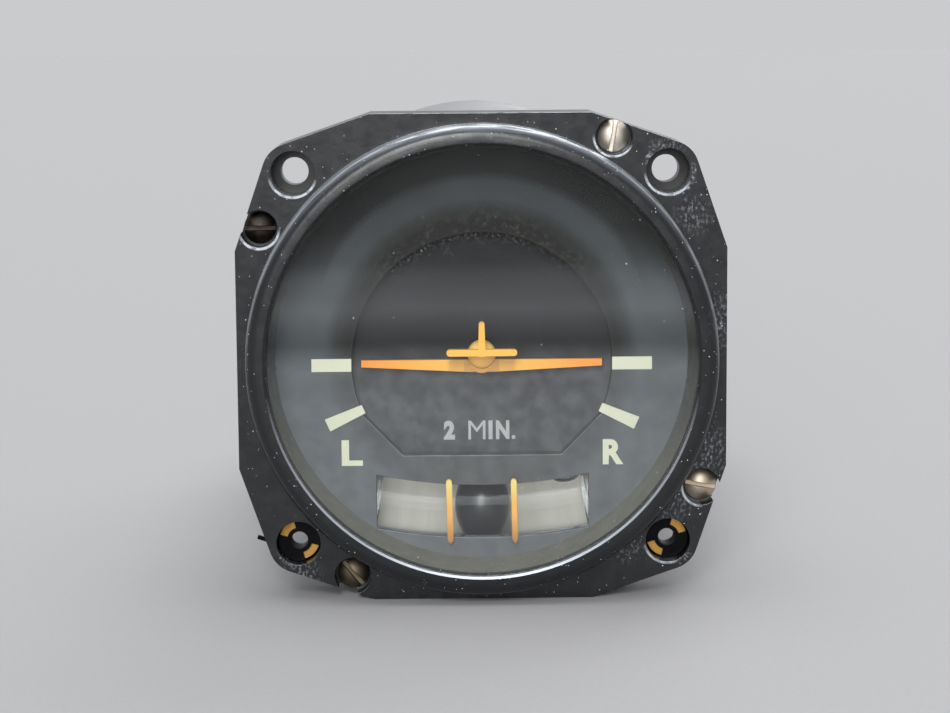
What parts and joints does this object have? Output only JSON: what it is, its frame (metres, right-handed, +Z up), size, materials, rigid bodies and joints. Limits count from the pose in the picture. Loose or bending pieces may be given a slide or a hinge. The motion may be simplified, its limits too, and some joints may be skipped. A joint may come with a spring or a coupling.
{
  "type": "rate of turn indicator",
  "caption": "Panel-mounted rate of turn indicator: round glazed dial with a miniature airplane over a ball inclinometer, canted gyro in a cylindrical case, connector at the rear.",
  "frame": {"origin": "on the instrument's axis, in the front face of the mounting flange, which seats behind the panel", "axes": "+X right on the dial, +Y back along the case, +Z up; the dial faces -Y"},
  "size_m": [0.0826, 0.1526, 0.0826],
  "materials": {
    "black_enamel": "semi-gloss black enamel on cast aluminium, rubbed bright along the ring's edges",
    "seal_rubber": "matt black seal rubber",
    "cover_glass": "clear plate glass with dust",
    "spacer_paint": "flat grey-beige paint",
    "dial_black": "matt black dial paint",
    "dial_cream": "flat cream dial paint",
    "tray_black": "matt dark grey dial paint",
    "tube_glass": "bent glass tube",
    "tube_plug": "pale sealing plug",
    "tube_backing": "flat pale grey-cream paint",
    "wire_orange": "orange enamel on wire",
    "case_aluminium": "turned aluminium, satin",
    "frame_aluminium": "cast and machined aluminium",
    "nickel_screws": "nickel-plated steel, dull and stained",
    "nut_brass": "machined brass",
    "clip_steel": "black phosphated spring steel",
    "bearing_steel": "ground steel",
    "spring_steel": "drawn spring wire",
    "board_laminate": "glass-epoxy circuit board",
    "capacitor_sleeve": "blue sleeve on can capacitors",
    "copper_winding": "enamelled copper",
    "shell_plating": "plated aluminium connector shell",
    "insert_plastic": "moulded connector insert",
    "airplane_orange": "orange paint on a moulding",
    "stator_iron": "varnished laminations",
    "holder_bakelite": "phenolic moulding",
    "brush_carbon": "pressed carbon",
    "ball_glass": "polished black glass"
  },
  "bodies": {
    "housing": {"bezel": "black_enamel", "glass_gasket": "seal_rubber", "cover_glass": "cover_glass", "spacer_ring": "spacer_paint", "dial_mask": "dial_black", "dial_marks": "dial_cream", "background_tray": "tray_black", "inclinometer_tube": "tube_glass", "inclinometer_plugs": "tube_plug", "inclinometer_backing": "tube_backing", "inclinometer_bracket": "frame_aluminium", "lubber_wires": "wire_orange", "case": "case_aluminium", "case_seal": "seal_rubber", "bezel_screws": "nickel_screws", "mount_nuts": "nut_brass", "nut_clips": "clip_steel", "front_bulkhead": "frame_aluminium", "rear_bulkhead": "frame_aluminium", "bulkhead_posts": "frame_aluminium", "frame_screws": "nickel_screws", "pointer_bushings": "nut_brass", "pointer_bridge": "frame_aluminium", "front_yoke": "frame_aluminium", "rear_yoke": "frame_aluminium", "gimbal_bearings": "bearing_steel", "gimbal_stops": "bearing_steel", "damper_bracket": "frame_aluminium", "damper_cylinder": "nut_brass", "spring_anchor": "frame_aluminium", "restraint_springs": "spring_steel", "circuit_board": "board_laminate", "capacitors": "capacitor_sleeve", "choke": "copper_winding", "board_standoffs": "nut_brass", "rear_cover": "case_aluminium", "rear_cover_gasket": "seal_rubber", "rear_cover_screws": "nickel_screws", "connector_shell": "shell_plating", "connector_insert": "insert_plastic", "connector_pins": "nut_brass", "connector_leads": "copper_winding", "connector_screws": "nickel_screws"},
    "pointer": {"miniature_airplane": "airplane_orange", "pointer_shaft": "bearing_steel", "pointer_fork": "frame_aluminium"},
    "gimbal": {"gimbal_frame": "frame_aluminium", "gimbal_pivots": "bearing_steel", "crank_arm": "bearing_steel", "damper_arm": "bearing_steel", "rotor_bearings": "bearing_steel", "stator": "stator_iron", "brush_holder": "holder_bakelite", "brushes": "brush_carbon"},
    "rotor": {"rotor_wheel": "nut_brass", "rotor_shaft": "bearing_steel", "commutator": "copper_winding"},
    "piston": {"damper_piston": "bearing_steel"},
    "ball": {"inclinometer_ball": "ball_glass"}
  },
  "joints": [
    {"name": "gimbal_tilt", "type": "hinge", "parent": "housing", "child": "gimbal", "pos_m": [0, 0.076, 0], "axis": [0, -0.866, 0.5], "range_deg": [-15, 15], "stiffness_Nm_per_rad": 0.03, "deforming": ["restraint_springs"]},
    {"name": "pointer_turn", "type": "hinge", "parent": "housing", "child": "pointer", "pos_m": [0, 0.03, 0], "axis": [0, -1, 0], "range_deg": [-30, 30]},
    {"name": "damper_slide", "type": "slide", "parent": "housing", "child": "piston", "axis": [1, 0, 0], "range_m": [-0.0043, 0.0043]},
    {"name": "rotor_spin", "type": "hinge", "parent": "gimbal", "child": "rotor", "pos_m": [0, 0.076, 0], "axis": [1, 0, 0], "continuous": true},
    {"name": "ball_roll", "type": "hinge", "parent": "housing", "child": "ball", "pos_m": [0, 0.013, 0.0648], "axis": [0, 1, 0], "range_deg": [-8, 8]}
  ],
  "couplings": [
    {"joint": "pointer_turn", "follows": "gimbal_tilt", "ratio": 2},
    {"joint": "damper_slide", "follows": "gimbal_tilt", "m_per_rad": -0.016}
  ]
}
